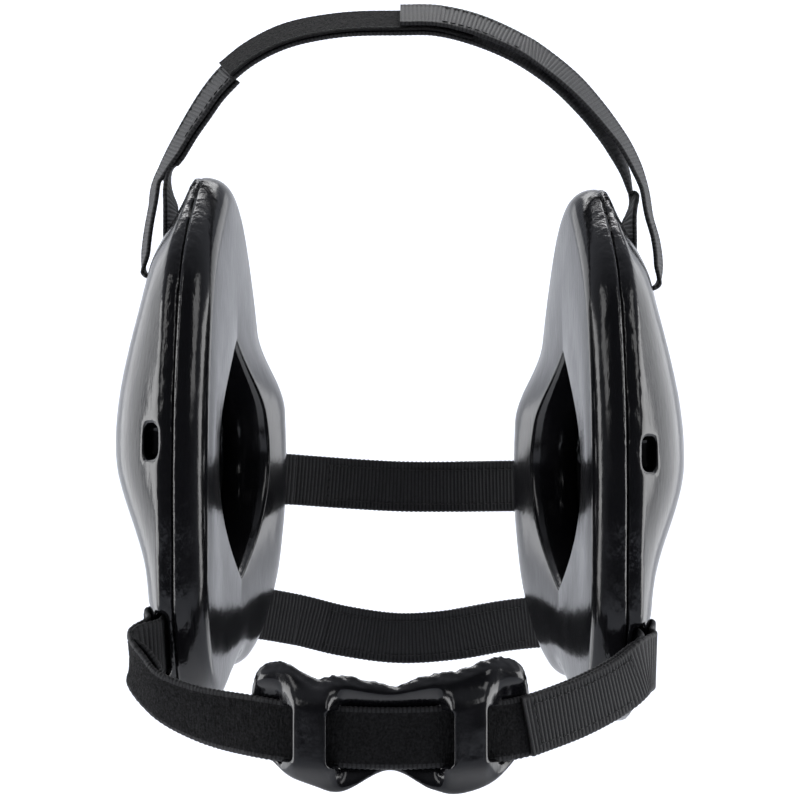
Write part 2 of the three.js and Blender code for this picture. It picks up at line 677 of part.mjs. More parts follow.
function chinPad() {
  const half = CHIN_PAD_THICK * HALF;
  const section = [
    [1, 0.4], [0.96, 0.85], [0.8, 1], [0.45, 1], [0.1, 1], [-0.3, 1], [-0.7, 1], [-0.94, 0.8],
    [-1, 0], [-0.94, -0.8], [-0.7, -1], [-0.3, -1], [0.1, -1], [0.45, -1], [0.8, -1], [0.98, -0.7],
  ];
  const top = new THREE.SplineCurve(CHIN_PAD_OUTLINE.map((row) => new THREE.Vector2(row.along, row.top)));
  const base = new THREE.SplineCurve(CHIN_PAD_OUTLINE.map((row) => new THREE.Vector2(row.along, row.base)));
  const steps = 36;
  const rings = Array.from({ length: steps + 1 }, (_, i) => {
    const t = i / steps;
    const [high, low] = [top.getPoint(t), base.getPoint(t)];
    const x = high.x * CHIN_PAD_LENGTH * HALF;
    const end = Math.sqrt(Math.max(0.12, 1 - Math.abs(high.x) ** 16));
    return section.map(([up, front]) => {
      const height = CHIN_PAD_HEIGHT * (((high.y + low.y) + up * (high.y - low.y)) * HALF);
      const p = chinLine(x);
      p.y -= chinWave(x, height) + front * half * end;
      p.z += height;
      return p;
    });
  });
  const { right, across, left } = chinRun();
  const run = [...right, ...across, ...left.slice().reverse()];
  const passage = ribbon(run, 40, STRAP_THICK + 2 * GAP, STRAP_WIDTH + 2 * SLOT_CLEARANCE);
  const slots = [-1, 1].flatMap((bar) => [-1, 1].map((beside) => {
    const middle = CHIN_BAR_SPACING * HALF * bar + ((CHIN_BAR_WIDTH + CHIN_SLOT_WIDTH) * HALF) * beside;
    const at = chinLine(middle);
    const size = [CHIN_SLOT_WIDTH, 4 * CHIN_PAD_THICK, STRAP_WIDTH + 2 * SLOT_CLEARANCE];
    return new THREE.BoxGeometry(...size).translate(at.x, at.y, at.z);
  }));
  return cutAway(bodyFromRings(rings), [passage, ...slots]);
}

const model = new THREE.Group();
[['right', -1], ['left', 1]].forEach(([word, side]) => {
  model.add(finished(`${word}_outer_shell`, outerShell(side), colours.vinyl));
  model.add(finished(`${word}_inner_pad`, innerPad(side), colours.vinyl));
});
model.add(finished('top_strap', topStrap(), colours.webbing));
model.add(finished('top_loop_tape', topLoopTape(), colours.fuzz));
model.add(finished('chin_strap', chinStrap(), colours.webbing));
model.add(finished('chin_pad', chinPad(), colours.vinyl));
const rearUpper = rearStrap(SLOTS.rear_upper, REAR_UPPER_LINE, REAR_BACK);
model.add(finished('rear_upper_strap', rearUpper, colours.webbing));
const rearLower = rearStrap(SLOTS.rear_lower, REAR_LOWER_LINE, REAR_BACK);
model.add(finished('rear_lower_strap', rearLower, colours.webbing));

export default model;
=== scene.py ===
import math

import bmesh
import bpy
import numpy as np
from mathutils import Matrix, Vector


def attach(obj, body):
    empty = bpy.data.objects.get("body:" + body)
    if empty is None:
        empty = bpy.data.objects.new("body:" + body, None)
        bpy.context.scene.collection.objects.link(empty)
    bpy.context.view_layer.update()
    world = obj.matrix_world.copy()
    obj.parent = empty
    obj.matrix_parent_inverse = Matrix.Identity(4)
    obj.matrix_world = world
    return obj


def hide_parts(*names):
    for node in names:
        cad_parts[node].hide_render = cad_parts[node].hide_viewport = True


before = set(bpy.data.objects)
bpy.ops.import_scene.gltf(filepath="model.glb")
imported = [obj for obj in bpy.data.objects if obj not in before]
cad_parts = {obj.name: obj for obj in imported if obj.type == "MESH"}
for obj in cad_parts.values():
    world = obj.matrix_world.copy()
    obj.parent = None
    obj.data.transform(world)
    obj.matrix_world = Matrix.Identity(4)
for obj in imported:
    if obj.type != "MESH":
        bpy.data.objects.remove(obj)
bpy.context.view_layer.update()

# Sizes in millimetres, as the model has them; MM turns them into metres

MM = 0.001
GAP = 0.3
EAR_DROP = 147.0
SEAM_HALF_SPAN = 65.5
CUP_YAW = math.radians(7)
LEFT_CUP_DROP = 4.0
CUP_FRONT = 57.0
CUP_REAR = 63.0
CUP_UP = 95.0
CUP_DOWN = 82.0
SHELL_EDGE = 5.0
SHELL_BODY = 21.5
EAR_DOME = 8.0
DOME_RISE = 6.0
SHELL_WALL = 4.0
TUCK_BELOW = 0.4
TUCK_START = 2.0
TUCK_RANGE = 45.0
NARROW_SHARE = 0.45
NARROW_START = 64.0
HOLLOW_MARGIN = 4.0
RIM_BAND = 9.0
PAD_THICK = 10.0
PAD_BULGE = 8.0
PAD_ROUND = 9.0
LIP_ROUND = 7.5
OPENING_HALF_LENGTH = 30.0
OPENING_HALF_HEIGHT = 39.5
STRAP_WIDTH = 19.0
STRAP_THICK = 1.6
LOOP_TAPE_THICK = 1.0
SLOT_CLEARANCE = 1.1
CHANNEL_DEPTH = 4.4
SLOT_LENGTH = 7.0
BAR_THICK = 3.4
PASSAGE = 0.7
LOOP_SPREAD = 4.6
VENT_HEIGHT = 8.5
VENT_LENGTH = 15.0
SIDE_POCKET_HEIGHT = 11.0
SIDE_POCKET_DEPTH = 14.0
CHIN_PAD_LENGTH = 86.0
CHIN_PAD_HEIGHT = 42.0
CHIN_PAD_THICK = 5.6
CHIN_PAD_WAVE = 4.4
CHIN_PAD_BEVEL = 3.2
CREASE_REACH = 3.5
CREASE_HEIGHT = 0.13
PINCH_DEPTH = 1.1
PINCH_WIDTH = 3.0
PINCH_PLACE = 2.0
CHIN_SLOT_WIDTH = 5.5
CHIN_SLOT_CLOSE = 1.4
CHIN_BAR_WIDTH = 10.5
CHIN_BAR_SPACING = 49.0
CHIN_FORWARD = 96.0
CHIN_DROP = 83.0
CHIN_SHIFT = -3.0
CHIN_CURVE = 9.5
CHIN_RISE = 2.8
CHIN_PILE_RUN = (0.1, 0.74)
REAR_BACK = 100.0
CROWN_TILT = 27.0
CROWN_EASE = 0.35
RIGHT_TOP_BULGE = 3.0
LEFT_TOP_BULGE = 4.5
TOP_TWIST = -18.0
RIGHT_END_ROW = 3
RIGHT_TAPE_ROWS = 4

RIB_PITCH = 1.38
RIB_HEIGHT = 0.3
BEAD_PITCH = 1.7
STITCH_PITCH = 2.9
STITCH_LENGTH = 2.4
STITCH_ROW = 6.4
THREAD = 0.5
SHELL_CELL = 0.95
SHELL_ROUNDS = 7
CHIN_CELL = 0.6
CHIN_ROUNDS = 6
PILE_HEIGHT = 0.45
PILE_STEP = 0.3
MEASURE_STEP = 0.5

# Turns of a cup's outline, as shares of its reaches: along, up
CUP_OUTLINE = [
    (1.00, -0.12), (0.96, 0.15), (0.80, 0.43), (0.52, 0.71), (0.16, 0.94), (-0.15, 1.00),
    (-0.46, 0.88), (-0.76, 0.68), (-0.93, 0.38), (-1.00, 0.05), (-1.00, -0.32), (-0.97, -0.64),
    (-0.80, -0.90), (-0.48, -1.00), (-0.10, -0.93), (0.17, -0.87), (0.46, -0.89), (0.74, -0.80),
    (0.87, -0.60), (0.88, -0.38),
]

# Strap slots: along, up, heading in degrees, level, reach
SLOTS = {
    "top": (-0.07, 0.70, 90, 0.66, 1.05),
    "rear_upper": (0.74, -0.12, 0, 0.66, 1.05),
    "rear_lower": (0.64, -0.68, -14, 0.33, 0.85),
    "chin": (-0.72, -0.70, 188, 0.32, 0.75),
}

VENTS = [(-0.10, 0.33), (-0.14, 0.06), (-0.10, -0.22)]

# Lines of the top strap: out, down, yaw, tilt
RIGHT_ARCH = [
    (0.23, 0.008, -2, 27), (0.44, 0.052, -9, 26), (0.58, 0.125, -14, 22), (0.675, 0.205, -18, 18),
    (0.74, 0.285, -19, 14), (0.79, 0.365, -19, 12), (0.84, 0.45, -17, 10), (0.885, 0.535, -16, 9),
    (0.92, 0.6, -13, 7), (0.952, 0.67, -11, 5),
]
LEFT_ARCH = [
    (0.14, 0.002, -3, 27), (0.29, 0.038, -9, 26), (0.46, 0.115, -13, 22), (0.61, 0.22, -16, 19),
    (0.715, 0.328, -17, 15), (0.79, 0.425, -17, 11), (0.845, 0.515, -16, 8), (0.885, 0.61, -11, 4),
    (0.905, 0.71, -4, 0),
]
LEFT_RETURN = [
    (0.955, 0.66, -11, 4), (0.925, 0.575, -14, 6), (0.88, 0.485, -15, 9), (0.825, 0.405, -16, 12),
    (0.76, 0.322, -17, 14), (0.675, 0.23, -17, 18), (0.565, 0.138, -15, 21),
]

# Lines of the rear straps: out, back, drop
REAR_UPPER_LINE = [
    (1.00, 0.36, -0.015), (0.86, 0.6, -0.015), (0.62, 0.8, 0.0), (0.32, 0.95, 0.02),
    (0.00, 1.00, 0.035),
]
REAR_LOWER_LINE = [
    (0.98, 0.26, 0.03), (0.84, 0.52, 0.04), (0.6, 0.77, 0.08), (0.32, 0.94, 0.14), (0.00, 1.00, 0.175),
]

# Lines of the chin strap from each cup: out, forward, down, lean
CHIN_RIGHT_SIDE = [
    (1.30, 0.63, 0.745, 18), (1.20, 0.69, 0.86, 28), (0.98, 0.78, 0.935, 18),
]
CHIN_LEFT_SIDE = [
    (1.17, 0.62, 0.775, 4), (1.06, 0.69, 0.835, 6), (0.86, 0.79, 0.905, 5),
]

# Outline of the chin pad: along, top, base
CHIN_PAD_OUTLINE = [
    (-1.00, 0.27, 0.00), (-0.96, 0.40, -0.12), (-0.79, 0.51, -0.28), (-0.53, 0.42, -0.37),
    (-0.36, 0.45, -0.40), (0.00, 0.40, -0.24), (0.30, 0.46, -0.38), (0.48, 0.48, -0.42),
    (0.79, 0.54, -0.33), (0.96, 0.42, -0.14), (1.00, 0.27, 0.00),
]

# Numbers and curves


def ease(x):
    """Smooth step from 0 to 1: the square of x times three less twice x."""
    x = np.clip(x, 0, 1)
    return x * x * (3 - 2 * x)


def spline(points, t, closed=False):
    """Centripetal Catmull-Rom curve through the points, at shares t of its number of spans."""
    p = np.asarray(points, float)
    count = len(p)
    if closed:
        padded = np.vstack([p[-1:], p, p[:2]])
        spans = count
    else:
        padded = np.vstack([2 * p[0] - p[1], p, 2 * p[-1] - p[-2]])
        spans = count - 1
    place = np.clip(np.asarray(t, float), 0, 1) * spans
    i = np.minimum(place.astype(int), spans - 1)
    f = (place - i)[:, None]
    p0, p1, p2, p3 = (padded[i + k] for k in range(4))
    d0, d1, d2 = (np.sqrt(np.maximum(np.linalg.norm(b - a, axis=1), 1e-6))[:, None]
                  for a, b in ((p0, p1), (p1, p2), (p2, p3)))
    m1 = ((p1 - p0) / d0 - (p2 - p0) / (d0 + d1) + (p2 - p1) / d1) * d1
    m2 = ((p2 - p1) / d1 - (p3 - p1) / (d1 + d2) + (p3 - p2) / d2) * d1
    return ((2 * f**3 - 3 * f**2 + 1) * p1 + (f**3 - 2 * f**2 + f) * m1
            + (3 * f**2 - 2 * f**3) * p2 + (f**3 - f**2) * m2)


def unit(a):
    return a / np.maximum(np.linalg.norm(a, axis=-1, keepdims=True), 1e-9)


def along_reach(share):
    return share * (CUP_FRONT if share < 0 else CUP_REAR)


def up_reach(share):
    return share * (CUP_DOWN if share < 0 else CUP_UP)


# Meshes


def mesh_object(name, verts, faces, uv=None):
    """A smooth object at the origin from vertices in millimetres, with a UV map in metres if given."""
    mesh = bpy.data.meshes.new(name)
    corners = faces if isinstance(faces, list) else faces.tolist()
    mesh.from_pydata((np.asarray(verts) * MM).tolist(), [], corners)
    if uv is not None:
        layer = mesh.uv_layers.new(name="run")
        corner = np.zeros(len(mesh.loops), np.int32)
        mesh.loops.foreach_get("vertex_index", corner)
        layer.data.foreach_set("uv", (uv[corner] * MM).astype(np.float32).ravel())
    obj = bpy.data.objects.new(name, mesh)
    bpy.context.scene.collection.objects.link(obj)
    face_out(obj)
    mesh.polygons.foreach_set("use_smooth", np.ones(len(mesh.polygons), bool))
    return obj


def face_out(obj):
    """Turn a closed mesh right side out by the sign of its volume."""
    bm = bmesh.new()
    bm.from_mesh(obj.data)
    bmesh.ops.remove_doubles(bm, verts=bm.verts, dist=1e-7)
    bmesh.ops.recalc_face_normals(bm, faces=bm.faces)
    if bm.calc_volume(signed=True) < 0:
        bmesh.ops.reverse_faces(bm, faces=bm.faces)
    bm.to_mesh(obj.data)
    bm.free()


def grid_faces(rows, columns, loop_rows=False, start=0):
    """Quads of a grid whose columns close on themselves, and whose rows may too."""
    i = np.arange(rows if loop_rows else rows - 1)[:, None]
    j = np.arange(columns)[None, :]
    a = i * columns + j
    b = i * columns + (j + 1) % columns
    c = ((i + 1) % rows) * columns + (j + 1) % columns
    d = ((i + 1) % rows) * columns + j
    return np.stack([a, b, c, d], -1).reshape(-1, 4) + start


def ring_body(rings, looped=False):
    """Vertices and faces of a body through rings; its open ends are closed by flat caps."""
    rings = np.asarray(rings)
    rows, columns = rings.shape[:2]
    faces = grid_faces(rows, columns, looped).tolist()
    if not looped:
        faces.append(list(range(columns))[::-1])
        faces.append(list(range((rows - 1) * columns, rows * columns)))
    return rings.reshape(-1, 3), faces


def body_object(name, rings, looped=False):
    return mesh_object(name, *ring_body(rings, looped))


def apply_modifiers(obj):
    depsgraph = bpy.context.evaluated_depsgraph_get()
    mesh = bpy.data.meshes.new_from_object(obj.evaluated_get(depsgraph))
    obj.modifiers.clear()
    obj.data = mesh


def cut(obj, cutters):
    for cutter in cutters:
        modifier = obj.modifiers.new("cut", "BOOLEAN")
        modifier.operation = "DIFFERENCE"
        modifier.solver = "MANIFOLD"
        modifier.object = cutter
        apply_modifiers(obj)
        bpy.data.objects.remove(cutter)


def soften(obj, voxel, rounds):
    """Even out the mesh into small cells and smooth it, as a dipped skin rounds its edges."""
    modifier = obj.modifiers.new("cells", "REMESH")
    modifier.mode = "VOXEL"
    modifier.voxel_size = voxel * MM
    modifier.use_smooth_shade = True
    smooth = obj.modifiers.new("smooth", "SMOOTH")
    smooth.factor = 0.5
    smooth.iterations = rounds
    apply_modifiers(obj)
    obj.data.materials.clear()
    obj.data.polygons.foreach_set("use_smooth", np.ones(len(obj.data.polygons), bool))


# Cups


def cup_to_world(side, u, v, w):
    """Cup frame to model frame: u back, v up, w out from the seam plane, turned by the yaw."""
    u, v, w = np.broadcast_arrays(u, v, w)
    drop = LEFT_CUP_DROP if side > 0 else 0.0
    return np.stack([
        side * (SEAM_HALF_SPAN - u * math.sin(CUP_YAW) + w * math.cos(CUP_YAW)),
        u * math.cos(CUP_YAW) + w * math.sin(CUP_YAW),
        -EAR_DROP + v - drop,
    ], -1)


EDGE_STEPS = 1440
EDGE_TURNS = [(along_reach(a), up_reach(b)) for a, b in CUP_OUTLINE]
EDGE_POINTS = spline(EDGE_TURNS, np.linspace(0, 1, EDGE_STEPS + 1)[:-1], True)
EDGE_ANGLES = np.arctan2(EDGE_POINTS[:, 1], EDGE_POINTS[:, 0])
EDGE_ORDER = np.argsort(EDGE_ANGLES)


def edge_reach(angle):
    """Distance from the ear centre to the cup's edge at an angle, read off the outline curve."""
    wrapped = (np.asarray(angle) + math.pi) % (2 * math.pi) - math.pi
    reach = np.hypot(EDGE_POINTS[:, 0], EDGE_POINTS[:, 1])
    return np.interp(wrapped, EDGE_ANGLES[EDGE_ORDER], reach[EDGE_ORDER], period=2 * math.pi)


def opening_reach(angle, margin=0.0):
    """Distance to the rim of the lens-shaped opening, whose sides are two parabolas."""
    across = OPENING_HALF_LENGTH + margin
    bend = across * (np.sin(angle) / (OPENING_HALF_HEIGHT + margin)) ** 2
    flat = np.abs(np.cos(angle))
    return 2 * across / (flat + np.sqrt(flat**2 + 4 * across * bend))


def narrow_top(v):
    """The shell grows thinner towards its top, by a smooth step."""
    return 1 - NARROW_SHARE * ease((v - NARROW_START) / (CUP_UP - NARROW_START))


def shell_height(u, v):
    """Height over the seam: a steep flank, a broad body and a low dome over the ear."""
    share = np.clip(np.hypot(u, v) / edge_reach(np.arctan2(v, u)), 0, 1)
    tuck = 1 - TUCK_BELOW * ease((TUCK_START - v) / TUCK_RANGE)
    body = (SHELL_BODY - SHELL_EDGE) * tuck * (1 - share**4)
    dome = EAR_DOME * ease(1 - np.hypot(u / CUP_REAR, (v - DOME_RISE) / (0.6 * CUP_UP)))
    return (SHELL_EDGE + body) * narrow_top(v) + dome


def pad_thickness(u, v):
    """Thickness of the pad, which swells behind the ear between the top and the bottom."""
    towards_rear = np.clip((u + OPENING_HALF_LENGTH) / (CUP_REAR + OPENING_HALF_LENGTH / 2), 0, 1)
    beside_ear = ease((0.47 * CUP_UP - v) / (0.3 * CUP_UP)) * ease((v + CUP_DOWN) / (0.75 * CUP_DOWN))
    return PAD_THICK + PAD_BULGE * towards_rear**1.3 * beside_ear


def slot_point(side, slot, out, across, w):
    along, up, heading = slot[:3]
    angle = math.radians(heading)
    u = along_reach(along) + out * math.cos(angle) - across * math.sin(angle)
    v = up_reach(up) + out * math.sin(angle) + across * math.cos(angle)
    return cup_to_world(side, u, v, w)


def slot_box(side, slot, out_from, out_to, low, high, width):
    ring = [(out_from, -1), (out_to, -1), (out_to, 1), (out_from, 1)]
    return body_object("cutter", [[slot_point(side, slot, out, e * width / 2, w) for out, e in ring]
                                  for w in (low, high)])


def slot_cutters(side, slot):
    width = STRAP_WIDTH + 2 * SLOT_CLEARANCE
    under = slot[3] * SHELL_BODY
    floor = under - CHANNEL_DEPTH
    above = SHELL_BODY + EAR_DOME + SHELL_WALL
    return [
        slot_box(side, slot, -BAR_THICK - SLOT_LENGTH, -BAR_THICK, floor, above, width),
        slot_box(side, slot, -BAR_THICK - 0.5, CUP_UP, floor, under, width),
    ]


def vent_cutter(side, vent):
    angle = np.linspace(0, 2 * math.pi, 24, endpoint=False)
    u = vent[0] * CUP_REAR + VENT_LENGTH / 2 * np.cos(angle)
    v = vent[1] * CUP_UP + VENT_HEIGHT / 2 * np.sin(angle)
    return body_object("cutter", [cup_to_world(side, u, v, w) for w in (SHELL_EDGE, 40.0)])


def side_pocket_cutter(side):
    pocket = (-1, 0.07, 180)
    return slot_box(side, pocket, -SIDE_POCKET_DEPTH, CUP_FRONT, SHELL_EDGE + GAP, SHELL_BODY / 2,
                    SIDE_POCKET_HEIGHT)


def mark_rim(obj, side):
    """Store how near each point lies to the seam plane, as a share that fades over the rim band."""
    count = len(obj.data.vertices)
    place = np.zeros(count * 3, np.float32)
    obj.data.vertices.foreach_get("co", place)
    place = place.reshape(-1, 3) / MM
    off = (side * place[:, 0] - SEAM_HALF_SPAN) * math.cos(CUP_YAW) + place[:, 1] * math.sin(CUP_YAW)
    layer = obj.data.attributes.new("rim", "FLOAT", "POINT")
    layer.data.foreach_set("value", ease(1 - np.abs(off) / RIM_BAND).astype(np.float32))


def outer_shell(name, side):
    """Rings over the dome from its crown to the edge, back under it and up into the hollow."""
    angle = np.linspace(0, 2 * math.pi, 200, endpoint=False)
    reach = edge_reach(angle)
    rings = []
    for share in np.sin(np.linspace(0.02, 1, 44) * math.pi / 2):
        u, v = np.cos(angle) * reach * share, np.sin(angle) * reach * share
        rings.append(cup_to_world(side, u, v, shell_height(u, v)))
    u, v = np.cos(angle) * reach, np.sin(angle) * reach
    rings.append(cup_to_world(side, u, v, SHELL_EDGE * 0.5))
    rings.append(cup_to_world(side, u, v, GAP / 2))
    for share in np.cos(np.linspace(0, 0.98, 22) * math.pi / 2):
        hollow = opening_reach(angle, HOLLOW_MARGIN) * share
        u, v = np.cos(angle) * hollow, np.sin(angle) * hollow
        roof = shell_height(u, v) - SHELL_WALL
        rings.append(cup_to_world(side, u, v, GAP / 2 + (roof - GAP / 2) * np.sqrt(1 - share**4)))
    obj = body_object(name, rings)
    cutters = [box for slot in SLOTS.values() for box in slot_cutters(side, slot)]
    cutters += [ribbon_cutter(*bar_loop(side, slot)) for slot in SLOTS.values()]
    cutters += [vent_cutter(side, vent) for vent in VENTS]
    cutters.append(side_pocket_cutter(side))
    cut(obj, cutters)
    soften(obj, SHELL_CELL, SHELL_ROUNDS)
    mark_rim(obj, side)
    return obj


def inner_pad(name, side):
    """Ring round the opening: each section runs from the seam over the rounded edge to the lip."""
    angle = np.linspace(0, 2 * math.pi, 220, endpoint=False)
    reach, lip = edge_reach(angle), opening_reach(angle)
    rows = [(0.0, 0.0, 0.0), (0.0, 0.0, 0.1)]
    for turn in np.linspace(0, math.pi / 2, 13)[1:]:
        rows.append((0.0, 1 - math.cos(turn), 0.1 + 0.9 * math.sin(turn)))
    for share in (0.15, 0.3, 0.5, 0.7, 0.85):
        rows.append((share, 1.0, 1 + 0.04 * math.sin(math.pi * share)))
    for turn in np.linspace(0, math.pi / 2, 6):
        rows.append((1.0, 0.27 * (1 - math.sin(turn)), 0.8 + 0.2 * math.cos(turn)))
    rows += [(1.0, 0.0, 0.5), (1.0, 0.0, 0.0)]
    rings = []
    for across, inset, depth in rows:
        outer = reach - inset * PAD_ROUND
        inner = lip + inset * LIP_ROUND
        distance = outer if across == 0 else inner if across == 1 else outer + (inner - outer) * across
        u, v = np.cos(angle) * distance, np.sin(angle) * distance
        rings.append(cup_to_world(side, u, v, -GAP / 2 - depth * pad_thickness(u, v)))
    obj = body_object(name, rings, True)
    mark_rim(obj, side)
    return obj


# Strap routes: stations give the middle of the thickness and the direction of one edge


def bar_loop(side, slot, bulge=0.0, twist=0.0):
    """Stations round a slot's bar: the inner layer, the fold in the hole and the outer layer."""
    along, up, heading, level, reach_share = slot
    reach = reach_share * STRAP_WIDTH
    under = level * SHELL_BODY
    inner = under - CHANNEL_DEPTH / 2
    angle = math.radians(heading)

    def outer(out):
        u = along_reach(along) + out * math.cos(angle)
        v = up_reach(up) + out * math.sin(angle)
        return max(float(shell_height(np.float64(u), np.float64(v))), under) + STRAP_THICK

    fold = -BAR_THICK - STRAP_THICK
    spread = inner + LOOP_SPREAD
    rows = [
        (reach, inner), (reach * 0.6, inner), (reach * 0.2, inner),
        (fold + STRAP_THICK / 2, inner + GAP), (fold - GAP, (inner + outer(fold)) / 2),
        (fold + STRAP_THICK, outer(0) + GAP + bulge / 2), (reach * 0.2, outer(reach * 0.2) + GAP + bulge),
        (reach * 0.6, max(outer(reach * 0.6), spread) + bulge), (reach, spread + bulge / 2),
    ]
    at = np.array([slot_point(side, slot, out, 0.0, w) for out, w in rows])
    start = slot_point(side, slot, 0.0, 0.0, 0.0)
    edge = slot_point(side, slot, 0.0, 1.0, 0.0) - start
    outward = slot_point(side, slot, 0.0, 0.0, 1.0) - start
    turn = math.radians(twist) * np.array([0, 0, 0, 0, 0, 0.5, 1, 1, 1])[:, None]
    return at, edge * np.cos(turn) + outward * np.sin(turn)


def front_edge(side, yaw, tilt):
    yaw, tilt = math.radians(yaw), math.radians(tilt)
    return [side * math.sin(yaw) * math.cos(tilt), -math.cos(yaw) * math.cos(tilt), -math.sin(tilt)]


def shifted(route, distance):
    """The same stations moved off along the strap's face."""
    at, edge = route
    before = np.vstack([at[:1], at[:-1]])
    after = np.vstack([at[1:], at[-1:]])
    return at + unit(np.cross(after - before, edge)) * distance, edge.copy()


def joined(*routes):
    return np.vstack([r[0] for r in routes]), np.vstack([r[1] for r in routes])


def part_of(route, start=0, stop=None):
    return route[0][start:stop], route[1][start:stop]


def backwards(route):
    return route[0][::-1], route[1][::-1]


def arch(side, rows):
    out = SEAM_HALF_SPAN + SHELL_BODY
    down = EAR_DROP - SLOTS["top"][1] * CUP_UP + (LEFT_CUP_DROP if side > 0 else 0)
    at = np.array([[side * out * r[0], 0.0, STRAP_THICK / 2 - down * r[1]] for r in rows])
    return at, np.array([front_edge(side, r[2], r[3]) for r in rows])


def top_routes():
    crown = (np.array([[0.0, 0.0, STRAP_THICK / 2]]), np.array([front_edge(1, 0, CROWN_TILT)]))
    right_main, left_main = arch(-1, RIGHT_ARCH), arch(1, LEFT_ARCH)
    right_end = shifted(part_of(right_main, RIGHT_END_ROW, -1), -STRAP_THICK - GAP)
    over = STRAP_THICK + LOOP_TAPE_THICK + 2 * GAP + CROWN_EASE
    free_end = shifted(joined(crown, part_of(left_main, 0, 3)), -over)
    right_loop = bar_loop(-1, SLOTS["top"], RIGHT_TOP_BULGE, TOP_TWIST)
    left_loop = bar_loop(1, SLOTS["top"], LEFT_TOP_BULGE, TOP_TWIST)
    main = joined(right_end, right_loop, backwards(right_main), crown, left_main, left_loop,
                  arch(1, LEFT_RETURN), backwards(free_end))
    taped = joined(backwards(part_of(right_main, 0, RIGHT_TAPE_ROWS)), crown, part_of(left_main, 0, 2))
    tape = shifted(taped, -(STRAP_THICK + LOOP_TAPE_THICK) / 2 - GAP)
    return main, tape, right_main, backwards(free_end)


def rear_route(slot, rows):
    slot_down = EAR_DROP - up_reach(slot[1])

    def arc(side):
        drop = LEFT_CUP_DROP if side > 0 else 0
        at = np.array([[side * SEAM_HALF_SPAN * o, CUP_REAR + (REAR_BACK - CUP_REAR) * b,
                        -slot_down - CUP_DOWN * d - drop * o] for o, b, d in rows])
        return at, np.tile([0.0, 0.0, 1.0], (len(rows), 1))

    right, left = arc(-1), arc(1)
    layer = STRAP_THICK + GAP
    sewn_end = backwards(shifted(part_of(right, 0, 3), layer))
    free_end = part_of(shifted(left, layer), 0, 4)
    between = joined(right, backwards(part_of(left, 0, -1)))
    return joined(sewn_end, bar_loop(-1, slot), between, bar_loop(1, slot), free_end), between, free_end


def chin_line(x):
    share = x / (CHIN_PAD_LENGTH / 2)
    return np.stack([CHIN_SHIFT + x, -CHIN_FORWARD + CHIN_CURVE * share**2,
                     -EAR_DROP - CHIN_DROP + CHIN_RISE * share**2], -1)


def chin_side(side, rows):
    at = np.array([[side * SEAM_HALF_SPAN * o, -CHIN_FORWARD * f, -EAR_DROP - CHIN_DROP * d]
                   for o, f, d, lean in rows])
    edge = np.array([[0.0, math.sin(math.radians(r[3])), -math.cos(math.radians(r[3]))] for r in rows])
    return at, edge


def chin_run():
    shares = np.array([-0.95, -0.7, -0.35, 0, 0.35, 0.7, 0.95])
    across = chin_line(shares * CHIN_PAD_LENGTH / 2), np.tile([0.0, 0, -1], (len(shares), 1))
    return chin_side(-1, CHIN_RIGHT_SIDE), across, chin_side(1, CHIN_LEFT_SIDE)


def chin_route():
    right, across, left = chin_run()
    layer = STRAP_THICK + GAP
    sewn_end = backwards(shifted(part_of(right, 0, 2), layer))
    free_end = shifted(joined(left, part_of(across, -1)), layer)
    route = joined(sewn_end, bar_loop(-1, SLOTS["chin"]), right, across, backwards(left),
                   bar_loop(1, SLOTS["chin"]), free_end)
    return route, free_end


def sampled(route, step):
    """Middle, edge, face and run length of a strap at even steps of its length."""
    fine = np.linspace(0, 1, 4000)
    at = spline(route[0], fine)
    edge = spline(route[1], fine)
    run = np.concatenate([[0], np.cumsum(np.linalg.norm(np.diff(at, axis=0), axis=1))])
    count = max(int(run[-1] / step), 8)
    want = np.linspace(0, run[-1], count + 1)
    at = np.stack([np.interp(want, run, at[:, k]) for k in range(3)], -1)
    edge = np.stack([np.interp(want, run, edge[:, k]) for k in range(3)], -1)
    tangent = unit(np.gradient(at, axis=0))
    edge = unit(edge - tangent * np.sum(edge * tangent, 1, keepdims=True))
    return at, edge, np.cross(tangent, edge), want


def share_at(route, x):
    """Share of the run at which a route passes a place along X."""
    middle, side, face, run = sampled(route, MEASURE_STEP)
    return run[np.argmin(np.abs(middle[:, 0] - x))] / run[-1]


def ribbon_cutter(at, edge, thick=STRAP_THICK + 2 * PASSAGE, width=STRAP_WIDTH + 2 * SLOT_CLEARANCE):
    middle, side, face, run = sampled((at, edge), 1.5)
    rings = [middle + side * (a * width / 2) + face * (b * thick / 2)
             for a, b in ((1, 1), (-1, 1), (-1, -1), (1, -1))]
    return body_object("cutter", np.stack(rings, 1))


